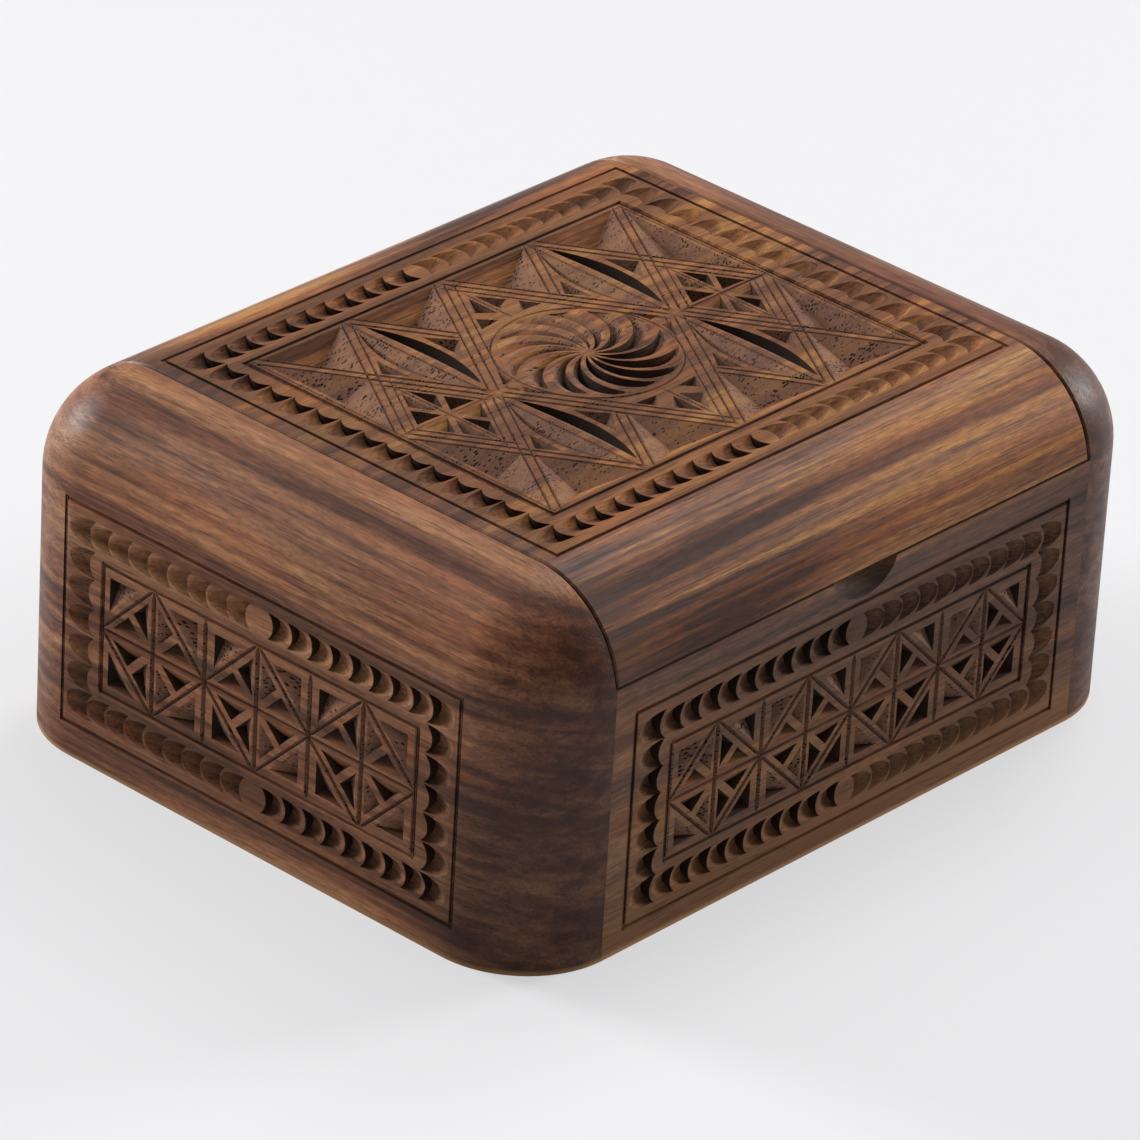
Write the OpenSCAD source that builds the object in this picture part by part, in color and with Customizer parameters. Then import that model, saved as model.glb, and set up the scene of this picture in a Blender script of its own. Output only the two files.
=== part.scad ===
// Carved walnut box with a pin-hinged lid.
// Millimetres. +Z up, origin at the centre of the underside, front at -Y.
// The two end blocks run the full depth and height. The front wall and the
// back wall are tongued into them, the bottom panel floats in a groove, and
// the lid drops between the end blocks and turns on two hidden pins.

/* [Box] */
// Overall width, end block to end block
box_w = 120; // [80:1:200]
// Overall depth, front face to back face
box_d = 97; // [75:1:170]
// Overall height
box_h = 52; // [40:1:90]
// Radius of the upright corners and of every top edge
edge_r = 14.5; // [8:0.5:18]

/* [Body] */
// Thickness of each end block
end_t = 14.2; // [11:0.1:22]
// Thickness of the front wall and the back wall
wall_t = 9.5; // [7.5:0.5:14]
// Thickness of the tongue on each end of a wall
tongue_t = 3.5; // [1.5:0.25:5]
// Length of the tongue on each end of a wall
tongue_l = 5; // [2:0.5:8]
// Thickness of the bottom panel
bottom_t = 4; // [2.5:0.5:8]
// Height of the bottom panel's underside above the table
bottom_z = 3; // [1.5:0.5:6]
// Depth of the groove that holds the bottom panel
groove_d = 2.5; // [1.5:0.25:3]

/* [Lid] */
// Thickness of the lid
lid_t = 12.5; // [11:0.5:18]
// Gap between the lid and each end block
lid_gap = 0.25; // [0.15:0.05:0.8]
// Widest opening angle of the lid
open_deg = 97; // [92:1:105]

/* [Hinge] */
// Radius of each hinge pin
pin_r = 1.5; // [1:0.1:2.2]
// Length of pin inside an end block
pin_in_end = 6.4; // [4:0.2:8]
// Length of pin inside the lid
pin_in_lid = 8; // [5:0.5:14]
// Radius of the rounded heel of the lid about the pin
heel_r = 5.5; // [4.5:0.25:7]
// Distance of the pin behind the back wall's inner face
pin_set = 0.5; // [0.2:0.1:1.5]

/* [Thumb notch] */
// Width of the thumb notch along the front wall's top edge
notch_w = 12.9; // [8:0.1:24]
// Height of the thumb notch down the front face
notch_h = 4; // [2:0.1:6]
// Depth of the thumb notch into the top edge
notch_d = 2; // [1:0.1:4]
// Offset of the thumb notch from the middle of the front
notch_x = 1; // [-20:0.5:20]

/* [Panels] */
// Margin from the end block's front and back edges to its panel line
end_margin_side = 13.2; // [10:0.1:20]
// Margin from the underside to the end panel's lower line
end_margin_low = 5; // [3:0.1:10]
// Margin from the top to the end panel's upper line
end_margin_top = 14.1; // [12:0.1:20]
// Margin from the end block seams to the wall panel's upright lines
wall_margin_side = 3.9; // [3:0.1:10]
// Margin from the underside to the wall panel's lower line
wall_margin_low = 3.4; // [2.5:0.1:10]
// Margin from the lid seam to the wall panel's upper line
wall_margin_top = 4.8; // [4:0.1:8]
// Margin from the lid's ends to its panel lines
lid_margin_side = 2.35; // [2:0.05:8]
// Margin from the front face to the lid panel's front line
lid_margin_front = 13.7; // [12:0.1:20]
// Margin from the back face to the lid panel's back line
lid_margin_back = 13.3; // [11:0.1:20]
// Width of the border between the outer and the inner line on the body
border_w = 7.1; // [5:0.1:10]
// Width of the border between the outer and the inner line on the lid
lid_border_w = 7.6; // [5:0.1:10]
// Width of each scribed line
line_w = 0.6; // [0.3:0.1:1.2]
// Depth of each scribed line
line_d = 0.4; // [0.2:0.1:0.8]

/* [Clearances] */
// Radial clearance of the pin in the lid
fit_run = 0.05; // [0.02:0.01:0.1]
// Radial clearance of the pin in the end block
fit_tight = 0.02; // [0.01:0.01:0.05]
// Clearance round each tongue and round the bottom panel's edges
fit_wood = 0.1; // [0.05:0.05:0.3]
// Gap between the lid's stop flat and the back wall at full opening
stop_gap = 0.1; // [0.05:0.05:0.3]
// Step from the heel's round out to its stop flat
heel_step = 0.3; // [0.2:0.05:0.5]

/* [Hidden] */
$fn = 96;
e = 1;                                    // overshoot of every cutter
big = box_w + box_d + box_h;              // larger than the whole box

in_x = box_w / 2 - end_t;                 // inner face of an end block
round_r = min(edge_r, end_t + 0.3);       // the rounds end at the end blocks' seams
in_y = box_d / 2 - wall_t;                // inner face of a wall
lid_x = in_x - lid_gap;                   // end of the lid
seat_z = box_h - lid_t;                   // underside of the lid
pin_y = in_y + pin_set;                   // hinge axis
pin_z = seat_z + heel_r;
stop_a = open_deg - 90;                   // tilt of the stop flat at rest
stop_r = heel_r + heel_step;              // its distance from the axis
back_top = pin_z - stop_r - stop_gap;     // top of the back wall
tongue_y1 = in_y + groove_d;              // tongue, inner face
tongue_y2 = tongue_y1 + tongue_t;         // tongue, outer face
groove_z1 = bottom_z - fit_wood;          // bottom panel's groove
groove_z2 = bottom_z + bottom_t + fit_wood;

// Quarter disc of radius r about a square-cornered leg: the half profile of a
// round corner, r wide and h + r high, with its axis on the left.
module bullet_profile(r, h) {
    intersection() {
        union() {
            square([r, h]);
            translate([0, h]) circle(r = r);
        }
        square([r, h + r]);
    }
}

// Section of the box across X, drawn in Y and Z: round top edges, square feet.
module section_yz() {
    b = box_d / 2 - round_r;
    h = box_h - round_r;
    translate([-box_d / 2, 0]) square([box_d, h]);
    translate([-b, 0]) square([2 * b, box_h]);
    for (j = [-1, 1]) translate([j * b, h]) circle(r = round_r);
}

// Length of that section from x1 to x2.
module section_bar(x1, x2) {
    translate([x1, 0, 0]) rotate([90, 0, 90])
        linear_extrude(x2 - x1) section_yz();
}

// Stretch of the box between the end blocks, from z1 to z2 and y1 to y2.
module slice(x1, x2, y1, y2, z1, z2) {
    intersection() {
        section_bar(x1, x2);
        translate([x1 - e, y1, z1]) cube([x2 - x1 + 2 * e, y2 - y1, z2 - z1]);
    }
}

// Left end block before its cuts: a round-topped bar along its outer side, a
// round corner at the front and at the back, and a flat slab against the walls
// where the rounds stop short of the seam.
module end_form() {
    a = box_w / 2 - round_r;
    b = box_d / 2 - round_r;
    h = box_h - round_r;
    s = max(a, in_x);
    if (a > in_x) section_bar(-a, -in_x);
    intersection() {
        translate([-a, b, 0]) rotate([90, 0, 0]) linear_extrude(2 * b)
            mirror([1, 0]) bullet_profile(round_r, h);
        translate([-box_w, -box_d, -e]) cube([box_w - s, 2 * box_d, box_h + 2 * e]);
    }
    for (j = [-1, 1])
        intersection() {
            translate([-a, j * b, 0]) rotate_extrude() bullet_profile(round_r, h);
            translate([-s - box_w, j > 0 ? b : -b - box_d, -e])
                cube([box_w, box_d, box_h + 2 * e]);
        }
}

// One rectangular line, w by h, scribed into the plane z = 0 from above.
module line_rect(w, h) {
    difference() {
        translate([-w / 2 - line_w / 2, -h / 2 - line_w / 2, -line_d])
            cube([w + line_w, h + line_w, line_d + e]);
        translate([-w / 2 + line_w / 2, -h / 2 + line_w / 2, -line_d - e])
            cube([w - line_w, h - line_w, line_d + 3 * e]);
    }
}

// The outer line and the inner line of a carved panel.
module panel_lines(w, h, border) {
    line_rect(w, h);
    line_rect(w - 2 * border, h - 2 * border);
}

// End block on the left (-X). The right one is its mirror image.
module end_block() {
    pw = box_d - 2 * end_margin_side;
    ph = box_h - end_margin_low - end_margin_top;
    difference() {
        end_form();
        // grooves for the tongues of the two walls
        for (j = [-1, 1])
            translate([-in_x - tongue_l - fit_wood,
                       j > 0 ? tongue_y1 - fit_wood : -tongue_y2 - fit_wood,
                       -e])
                cube([tongue_l + fit_wood + e, tongue_t + 2 * fit_wood,
                      (j > 0 ? back_top : seat_z) + fit_wood + e]);
        // groove for the bottom panel
        translate([-in_x - groove_d, -in_y - groove_d, groove_z1])
            cube([groove_d + e, 2 * (in_y + groove_d), groove_z2 - groove_z1]);
        // blind hole for the hinge pin
        translate([-in_x - pin_in_end - fit_wood, pin_y, pin_z])
            rotate([0, 90, 0])
                cylinder(r = pin_r + fit_tight, h = pin_in_end + fit_wood + e);
        // panel lines on the outer face
        translate([-box_w / 2, 0, end_margin_low + ph / 2])
            rotate([0, -90, 0]) rotate([0, 0, 90]) panel_lines(pw, ph, border_w);
    }
}

module left_end() {
    color("#573b2c") end_block();
}

module right_end() {
    color("#573b2c") mirror([1, 0, 0]) end_block();
}

// A wall between the end blocks, drawn at the front, with its top at top_z.
module wall(top_z) {
    pw = 2 * (in_x - wall_margin_side);
    ph = seat_z - wall_margin_low - wall_margin_top;
    difference() {
        union() {
            slice(-in_x, in_x, -box_d / 2, -in_y, 0, top_z);
            translate([-in_x - tongue_l, -tongue_y2, 0])
                cube([2 * (in_x + tongue_l), tongue_t, top_z]);
        }
        translate([-in_x - tongue_l - e, -in_y - groove_d, groove_z1])
            cube([2 * (in_x + tongue_l + e), groove_d + e, groove_z2 - groove_z1]);
        translate([0, -box_d / 2, wall_margin_low + ph / 2])
            rotate([90, 0, 0]) panel_lines(pw, ph, border_w);
    }
}

// Ball that scoops the thumb notch: it meets the front face in an arc
// notch_w wide and notch_h high, and is notch_d deep at the top edge.
module notch_ball() {
    rc = (notch_w * notch_w / 4 + notch_h * notch_h) / (2 * notch_h);
    up = rc - notch_h;
    back = (rc * rc - up * up - notch_d * notch_d) / (2 * notch_d);
    translate([notch_x, -box_d / 2 - back, seat_z + up])
        sphere(r = sqrt(rc * rc + back * back));
}

module front_wall() {
    color("#54423a") difference() {
        wall(seat_z);
        notch_ball();
    }
}

module back_wall() {
    color("#54423a") mirror([0, 1, 0]) wall(back_top);
}

module bottom_panel() {
    g = groove_d - fit_wood;
    color("#6a5140")
        translate([-in_x - g, -in_y - g, bottom_z])
            cube([2 * (in_x + g), 2 * (in_y + g), bottom_t]);
}

// What is cut from the lid's lower back edge, in Y and Z about the hinge axis:
// everything below and behind the heel's round, and all beyond the stop flat.
module heel_cut() {
    difference() {
        polygon([[0, 0], [big * cos(stop_a), big * sin(stop_a)],
                 [big, -big], [0, -big]]);
        circle(r = heel_r);
    }
    rotate(stop_a) translate([stop_r, -big]) square([big, 2 * big]);
}

module lid() {
    pw = 2 * (lid_x - lid_margin_side);
    pd = box_d - lid_margin_front - lid_margin_back;
    color("#75533a") difference() {
        slice(-lid_x, lid_x, -box_d / 2, box_d / 2, seat_z, box_h);
        translate([-lid_x - e, pin_y, pin_z])
            rotate([90, 0, 90]) linear_extrude(2 * (lid_x + e)) heel_cut();
        for (i = [-1, 1])
            translate([i * lid_x, pin_y, pin_z]) rotate([0, -90 * i, 0])
                translate([0, 0, -e])
                    cylinder(r = pin_r + fit_run, h = pin_in_lid + fit_wood + e);
        translate([0, (lid_margin_front - lid_margin_back) / 2, box_h])
            panel_lines(pw, pd, lid_border_w);
    }
}

// Pin on the left, from its blind hole in the end block into the lid.
module hinge_pin() {
    translate([-in_x - pin_in_end, pin_y, pin_z]) rotate([0, 90, 0])
        cylinder(r = pin_r, h = pin_in_end + lid_gap + pin_in_lid);
}

module hinge_pin_left() {
    color("#b08d4a") hinge_pin();
}

module hinge_pin_right() {
    color("#b08d4a") mirror([1, 0, 0]) hinge_pin();
}

left_end();
right_end();
front_wall();
back_wall();
bottom_panel();
lid();
hinge_pin_left();
hinge_pin_right();
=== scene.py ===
# %% [markdown]
# # A chip-carved walnut box
#
# The real object is a small keepsake box. Two thick end blocks, a front wall
# and a back wall make the case, and a thick lid turns on hidden pins. Every
# outer face is carved with a knife and a gouge. The sizes come from a fixed
# model of the parts, so this file only makes the looks: it carves copies of
# the plain parts and gives each one its wood.

# %% Load the plain parts
import bpy
import bmesh
import math
import numpy as np
from mathutils import Matrix, Vector


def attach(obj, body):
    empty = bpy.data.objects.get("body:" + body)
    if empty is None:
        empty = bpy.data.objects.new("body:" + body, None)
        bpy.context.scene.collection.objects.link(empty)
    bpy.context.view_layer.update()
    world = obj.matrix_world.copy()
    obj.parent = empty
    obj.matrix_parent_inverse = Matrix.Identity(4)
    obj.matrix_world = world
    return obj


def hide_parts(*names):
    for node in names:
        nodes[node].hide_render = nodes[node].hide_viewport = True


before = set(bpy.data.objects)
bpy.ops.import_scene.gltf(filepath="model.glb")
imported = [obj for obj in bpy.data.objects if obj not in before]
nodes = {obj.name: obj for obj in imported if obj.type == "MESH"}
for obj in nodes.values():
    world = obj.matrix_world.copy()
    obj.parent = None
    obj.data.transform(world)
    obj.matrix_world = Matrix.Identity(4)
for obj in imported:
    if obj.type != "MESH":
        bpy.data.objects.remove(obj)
scene = bpy.context.scene
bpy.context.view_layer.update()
print("plain parts:", sorted(nodes))

# %% Units and main sizes
MM = 0.001
HALF_WIDTH, HALF_DEPTH, HEIGHT = 60, 48.5, 52
ROUND = 14.5         # radius of the rounded edges
LID_BOTTOM = 39.5    # height of the lid's underside
END_SEAM = 45.675    # from the middle of the box to the gap beside the lid


def mm(*values):
    """A vector given in millimetres, as metres."""
    return Vector(values) * MM


print("box, mm:", 2 * HALF_WIDTH, 2 * HALF_DEPTH, HEIGHT)

# %% [markdown]
# ## Camera
#
# A box looks true only from the right distance. A long lens far away keeps
# upright edges nearly parallel, which is how a small object is usually shown.
# The camera is set from its place and its three directions, and not from a
# target, because the view is also rolled by a few degrees.

# %% Camera
def linked(name, data):
    """A new object in the scene that shows this data."""
    obj = bpy.data.objects.new(name, data)
    scene.collection.objects.link(obj)
    return obj


eye = mm(-701.835, -618.942, 533.2)
right = Vector((0.682164, -0.729372, 0.051662))
ahead = Vector((0.656998, 0.580395, -0.481138))
up = right.cross(ahead)
lens_data = bpy.data.cameras.new("camera")
lens_data.sensor_width = 36.0
lens_data.lens = 254.58568
lens_data.clip_end = 10
camera = linked("camera", lens_data)
camera.matrix_world = Matrix.Translation(eye) @ Matrix(
    (right, up, -ahead)).transposed().to_4x4()
scene.camera = camera
print("lens mm:", round(lens_data.lens, 1), "distance mm:", round(eye.length / MM))

# %% [markdown]
# ## Small helpers
#
# Colours are written as they look on a screen, so one function turns them to
# the linear values that shaders use. Another adds a node, sets its fields and
# joins its inputs, and the rest are short forms of what is needed often.

# %% Colour and node helpers
def ink(code):
    """Screen colour such as #7a4f2c as linear red, green, blue and alpha."""
    parts = [int(code[i:i + 2], 16) / 255 for i in (1, 3, 5)]
    return tuple(c / 12.92 if c <= 0.04045 else ((c + 0.055) / 1.055) ** 2.4
                 for c in parts) + (1.0,)


def add(tree, kind, inputs=None, **fields):
    """Adds one node. An input takes a value, or a socket to join to it."""
    node = tree.nodes.new(kind)
    for name, value in fields.items():
        setattr(node, name, value)
    for key, value in (inputs or {}).items():
        if isinstance(value, bpy.types.NodeSocket):
            tree.links.new(value, node.inputs[key])
        else:
            node.inputs[key].default_value = value
    return node


def maths(tree, operation, *values, **fields):
    """Result of one math node."""
    return add(tree, "ShaderNodeMath", dict(enumerate(values)), operation=operation,
               **fields).outputs[0]


def blend(tree, factor, first, second):
    """Colour that goes from the first to the second as the factor grows."""
    return add(tree, "ShaderNodeMix", {"Factor": factor, "A": first, "B": second},
               data_type="RGBA").outputs["Result"]


def between(tree, value, low, high, start, end, **fields):
    """Number that goes from start to end as the value goes from low to high."""
    return add(tree, "ShaderNodeMapRange", {
        "Value": value, "From Min": low, "From Max": high,
        "To Min": start, "To Max": end}, **fields).outputs["Result"]


def dot(tree, place, way):
    """How far a place lies along a direction."""
    return add(tree, "ShaderNodeVectorMath", {0: place, 1: way},
               operation="DOT_PRODUCT").outputs["Value"]


def fresh_material(name):
    """A new material and its empty node tree."""
    material = bpy.data.materials.new(name)
    material.use_nodes = True
    material.node_tree.nodes.clear()
    return material, material.node_tree


print("white:", ink("#ffffff"))

# %% [markdown]
# ## Walnut
#
# Walnut is a brown open-pored wood. Its colour runs in streaks along the
# grain, its fibres are fine lines, and its pores are dark tubes about 0.2 mm
# wide. All three are made here as solid patterns stretched along the grain,
# so a face cut across the grain shows the pores as dots, as real wood does.
# Carved pieces carry four attributes: `stab` is 1 on walls cut straight down.
# These walls are painted near black: painted shade of the deep walls, together
# with dark oil soaked into the end grain that the knife crushed. `pared` is high
# on gentle slopes and on scraped ground, where the skin of the wood is gone and
# its streaks show less. `cut` marks the sloping cuts, whose deep places get
# painted shade together with gathered oil, and `end` tells how far a slope cuts
# across the grain. The finish is rubbed oil: satin outside, dull in the cuts.
# Along the foot the corner is worn to pale wood.

# %% Walnut material
def walnut(name, grain, tilt, seed, stripes, tones, cut, face, heart):
    """Oiled walnut. grain is 0 where it runs along X and 1 along Y, and tilt is
    how far the growth rings lean from level, in degrees. stripes is how strongly
    the streaks show, and the four tones go from dark streak to pale wood. cut is
    the colour of pared wood. face is the direction and the distance of the
    carved face, in millimetres, and how dark the depths go. heart is a
    direction, the two distances between which the wood changes, its colour
    there, and how much of it shows."""
    *face_way, face_at, face_shade_and_oil = face
    *heart_way, heart_from, heart_to, heart_colour, heart_share = heart
    material, t = fresh_material(name)
    place = add(t, "ShaderNodeTexCoord").outputs["Object"]
    along = add(t, "ShaderNodeMapping", {
        "Vector": place, "Location": (seed * 0.037, seed * 0.011, seed * 0.023),
        "Rotation": (0, 0, math.radians(90) * grain)}).outputs["Vector"]
    turned = add(t, "ShaderNodeMapping", {
        "Vector": along, "Rotation": (math.radians(tilt), 0, 0)}).outputs["Vector"]

    def squeezed(length, width, height):
        """Space in which a block of this size in millimetres is one unit."""
        return add(t, "ShaderNodeMapping", {
            "Vector": turned, "Scale": (1 / (length * MM), 1 / (width * MM),
                                        1 / (height * MM))}).outputs["Vector"]

    def noise(size, **more):
        return add(t, "ShaderNodeTexNoise", {
            "Vector": squeezed(*size), "Scale": 1.0, **more}).outputs["Fac"]

    def times(a, b, **more):
        return maths(t, "MULTIPLY", a, b, **more)

    zones = noise((110, 16, 7), Detail=2.0, Roughness=0.5, Distortion=0.9)
    streaks = noise((75, 3.2, 1.6), Detail=3.5, Roughness=0.6, Distortion=0.6)
    fibres = noise((3.0, 0.28, 0.28), Detail=3.0, Roughness=0.7)
    flecks = noise((12, 0.8, 0.6), Detail=3.0, Roughness=0.65)
    mottle = noise((2.2, 0.8, 0.8), Detail=3.0, Roughness=0.75)
    veins = noise((60, 1.5, 0.55), Detail=2.0, Roughness=0.6, Distortion=0.3)
    rings = add(t, "ShaderNodeTexWave", {
        "Vector": squeezed(420, 60, 8.2), "Scale": 1.0, "Distortion": 5.0,
        "Detail": 2.0, "Detail Scale": 2.2}, wave_type="BANDS",
        bands_direction="Z").outputs["Fac"]
    body = (0.36 - stripes) / 2    # keeps the mean tone when the stripes change
    for pattern, share in ((zones, 0.5), (streaks, stripes), (rings, 0.06),
                           (flecks, 0.15)):
        body = maths(t, "MULTIPLY_ADD", pattern, share, body)
    tone = add(t, "ShaderNodeValToRGB", {"Fac": body})
    ramp = tone.color_ramp
    ramp.elements[0].position, ramp.elements[0].color = 0.45, ink(tones[0])
    ramp.elements[1].position, ramp.elements[1].color = 0.66, ink(tones[3])
    for position, code in ((0.51, tones[1]), (0.58, tones[2])):
        ramp.elements.new(position).color = ink(code)
    hue = between(t, noise((45, 9, 5), Detail=2.0), 0.42, 0.62, 0.0, 0.7)
    warm = add(t, "ShaderNodeVectorMath", {
        0: tone.outputs["Color"], 1: (1.06, 0.84, 0.74)}, operation="MULTIPLY")
    wood = blend(t, hue, tone.outputs["Color"], warm.outputs["Vector"])
    for pattern, low, high, least, most in (
            (fibres, 0.3, 0.7, 0.64, 1.36), (mottle, 0.3, 0.7, 0.8, 1.2),
            (veins, 0.58, 0.72, 1.02, 0.62)):
        wood = add(t, "ShaderNodeVectorMath", {
            0: wood, "Scale": between(t, pattern, low, high, least, most)},
            operation="SCALE").outputs["Vector"]
    core = between(t, dot(t, place, heart_way), heart_from * MM, heart_to * MM, 0.0,
                   heart_share, interpolation_type="SMOOTHSTEP")
    wood = blend(t, times(core, between(t, streaks, 0.35, 0.6, 1.0, 0.75)), wood,
                 ink(heart_colour))

    # pores: the middles of long thin cells
    pore = add(t, "ShaderNodeTexVoronoi", {
        "Vector": squeezed(9.0, 0.37, 0.37), "Scale": 1.0})
    width = between(t, noise((40, 4, 2), Detail=1.0), 0.35, 0.65, 0.2, 0.4)
    open_pore = times(maths(t, "SUBTRACT", width, pore.outputs["Distance"]), 12.0,
                      use_clamp=True)
    stab, pared, carved, end = (
        add(t, "ShaderNodeAttribute", attribute_name=name).outputs["Fac"]
        for name in ("stab", "pared", "cut", "end"))

    # cuts: pared wood, painted shade and oil in the depths, end grain, pores, then stabbed
    # walls
    wood = blend(t, times(pared, fibres), wood, ink(cut))
    both = add(t, "ShaderNodeVectorMath", {0: place}, operation="ABSOLUTE")
    level = dot(t, both.outputs["Vector"], face_way)
    # painted shade: deeper cut faces go darker, shade in the depths together with gathered
    # oil
    depth_shade_and_oil = between(t, level, (face_at - 1.9) * MM, (face_at - 0.12) * MM, face_shade_and_oil, 0.0)
    wood = blend(t, times(depth_shade_and_oil, carved), wood, ink("#22150e"))
    wood = blend(t, times(between(t, end, 0.1, 0.45, 0.0, 1.25), fibres, use_clamp=True),
                 wood, ink("#7c5e4f"))
    wood = blend(t, times(open_pore, between(t, end, 0.0, 0.3, 0.35, 1.0)), wood,
                 ink("#150c08"))
    # painted shade: stabbed walls go near black, the shade of the deep walls with dark oil
    # in the crushed end grain
    wood = blend(t, times(stab, 0.94), wood, ink("#20150f"))

    # worn foot: pale below 0.25 mm, gone at 0.85 mm
    foot = add(t, "ShaderNodeSeparateXYZ", {"Vector": place}).outputs["Z"]
    rubbed = blend(t, streaks, ink("#8a6039"), ink("#cda477"))
    wood = blend(t, between(t, foot, 0.25 * MM, 0.85 * MM, 0.85, 0.0), wood, rubbed)

    # pores sink and fibres rise by hundredths of a millimetre
    height = maths(t, "MULTIPLY_ADD", open_pore, -1.0, fibres)
    bump = add(t, "ShaderNodeBump", {
        "Height": height, "Strength": 0.3, "Distance": 0.06 * MM})
    cuts = maths(t, "MAXIMUM", maths(t, "MAXIMUM", stab, pared), carved)
    sheen = maths(t, "MULTIPLY_ADD", cuts, 0.5, between(t, streaks, 0.3, 0.7, 0.5, 0.4))
    shader = add(t, "ShaderNodeBsdfPrincipled", {
        "Base Color": wood, "Roughness": sheen, "Specular IOR Level": 0.2,
        "Normal": bump.outputs["Normal"]})
    add(t, "ShaderNodeOutputMaterial", {"Surface": shader.outputs["BSDF"]})
    return material


# %% The four woods
lid_wood = walnut(
    "walnut_oiled_lid", grain=0, tilt=48, seed=3.0, stripes=0.42,
    tones=("#43281a", "#6a412a", "#835534", "#a1723b"), cut="#765239",
    face=(0, 0, 1, HEIGHT, 0.12), heart=(-1, 0, 0, 33, 44, "#4a3227", 0.65))
end_wood = walnut(
    "walnut_oiled_ends", grain=1, tilt=12, seed=8.0, stripes=0.26,
    tones=("#503224", "#6d4632", "#8a5e43", "#9d714f"), cut="#6c4e37",
    face=(1, 0, 0, HALF_WIDTH, 0.65), heart=(0, -1, -0.35, 19, 36, "#38221a", 0.88))
wall_wood = walnut(
    "walnut_oiled_walls", grain=0, tilt=66, seed=21.0, stripes=0.34,
    tones=("#3b281f", "#543b2e", "#684734", "#7d5a3b"), cut="#7c5c43",
    face=(0, 1, 0, HALF_DEPTH, 0.52), heart=(0, 0, -1, -10, -3, "#8c5f39", 0.6))
floor_wood = walnut(
    "walnut_planed_bottom", grain=0, tilt=20, seed=33.0, stripes=0.3,
    tones=("#3f2d22", "#5b4231", "#6f503a", "#84603f"), cut="#8a7048",
    face=(0, 0, 1, HEIGHT, 0), heart=(0, 0, -1, 60, 70, "#3f2d22", 0.0))
print("woods:", [m.name for m in (lid_wood, end_wood, wall_wood, floor_wood)])

# %% [markdown]
# ## Brass
#
# The hinge pins are short pieces of drawn brass rod. Drawing leaves fine lines
# along the rod, so the shine is stretched across them.

# %% Brass for the hinge pins
def drawn_brass():
    """Drawn brass rod: fine lines along the rod, a soft metallic shine."""
    material, t = fresh_material("brass_drawn_rod")
    place = add(t, "ShaderNodeTexCoord").outputs["Object"]
    lines = add(t, "ShaderNodeMapping", {
        "Vector": place, "Scale": (1 / (6 * MM), 1 / (0.15 * MM), 1 / (0.15 * MM))})
    scratch = add(t, "ShaderNodeTexNoise", {
        "Vector": lines.outputs["Vector"], "Scale": 1.0, "Detail": 2.0}).outputs["Fac"]
    shader = add(t, "ShaderNodeBsdfPrincipled", {
        "Base Color": blend(t, scratch, ink("#a8843f"), ink("#c9a860")),
        "Metallic": 1.0, "Roughness": between(t, scratch, 0.0, 1.0, 0.22, 0.42)})
    add(t, "ShaderNodeOutputMaterial", {"Surface": shader.outputs["BSDF"]})
    return material


brass = drawn_brass()
print("pins:", brass.name)

# %% [markdown]
# ## How the carving is made
#
# Chip carving takes away small wedges of wood. Each wedge is easiest to model
# as a solid of its own, which a boolean then subtracts from the plain part.
# All wedges are drawn in the plane of a panel: u runs to the right, v runs up,
# and z points out of the wood, with the face at zero. A panel knows where that
# plane lies on the box.

# %% Panels
class Panel:
    """A flat carved face: its middle, its directions and its half sizes."""

    def __init__(self, middle, u, v, half_u, half_v, border):
        self.u, self.v = Vector(u), Vector(v)
        self.out = self.u.cross(self.v)
        self.middle = mm(*middle)
        self.half_u, self.half_v, self.border = half_u, half_v, border
        self.field_u, self.field_v = half_u - border, half_v - border
        self.place = Matrix.Translation(self.middle) @ Matrix(
            (self.u, self.v, self.out)).transposed().to_4x4()


end_size = (35.3, 16.45, 7.1)      # half sizes and the width of the border
wall_size = (41.9, 15.65, 7.1)
lid_size = (43.2, 35.0, 7.6)
end_z, wall_z = 21.45, 19.05       # heights of the panels' middles
panels = {
    "left_end": Panel((-HALF_WIDTH, 0, end_z), (0, -1, 0), (0, 0, 1), *end_size),
    "right_end": Panel((HALF_WIDTH, 0, end_z), (0, 1, 0), (0, 0, 1), *end_size),
    "front_wall": Panel((0, -HALF_DEPTH, wall_z), (1, 0, 0), (0, 0, 1), *wall_size),
    "back_wall": Panel((0, HALF_DEPTH, wall_z), (-1, 0, 0), (0, 0, 1), *wall_size),
    "lid": Panel((0, 0.2, HEIGHT), (1, 0, 0), (0, 1, 0), *lid_size),
}
print("panels:", list(panels))

# %% Solid from points and faces
def solid(name, points, faces):
    """A closed mesh object from points in millimetres, with faces outwards."""
    mesh = bpy.data.meshes.new(name)
    mesh.from_pydata([mm(*p) for p in points], [], faces)
    made = bmesh.new()
    made.from_mesh(mesh)
    bmesh.ops.recalc_face_normals(made, faces=made.faces)
    made.to_mesh(mesh)
    made.free()
    return linked(name, mesh)


def joined(name, parts):
    """Several (points, faces) lists as one object."""
    points, faces = [], []
    for some_points, some_faces in parts:
        start = len(points)
        points += some_points
        faces += [[start + i for i in f] for f in some_faces]
    return solid(name, points, faces)


# %% [markdown]
# ## The three wedges
#
# A pit is a pyramid that stands on its tip: the knife cuts three slopes that
# meet at the deepest point. A scribed line is a long V that runs out to a point
# at both ends. A gouge mark starts at a wall stabbed straight down along an
# arc, and from its foot the gouge scoops its way out of the wood in a hollow
# ramp. Each wedge goes on above the face, because a boolean works best when no
# two faces lie in one plane.

# %% Solids through rings, and the pit
def lofted(rings):
    """Points and faces of a closed solid through several rings of points."""
    size = len(rings[0])
    points = [p for ring in rings for p in ring]
    faces = [list(range(size)), list(range(len(points) - size, len(points)))]
    for k in range(0, len(points) - size, size):
        for i in range(size):
            j = (i + 1) % size
            faces.append([k + i, k + j, k + size + j, k + size + i])
    return points, faces


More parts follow.
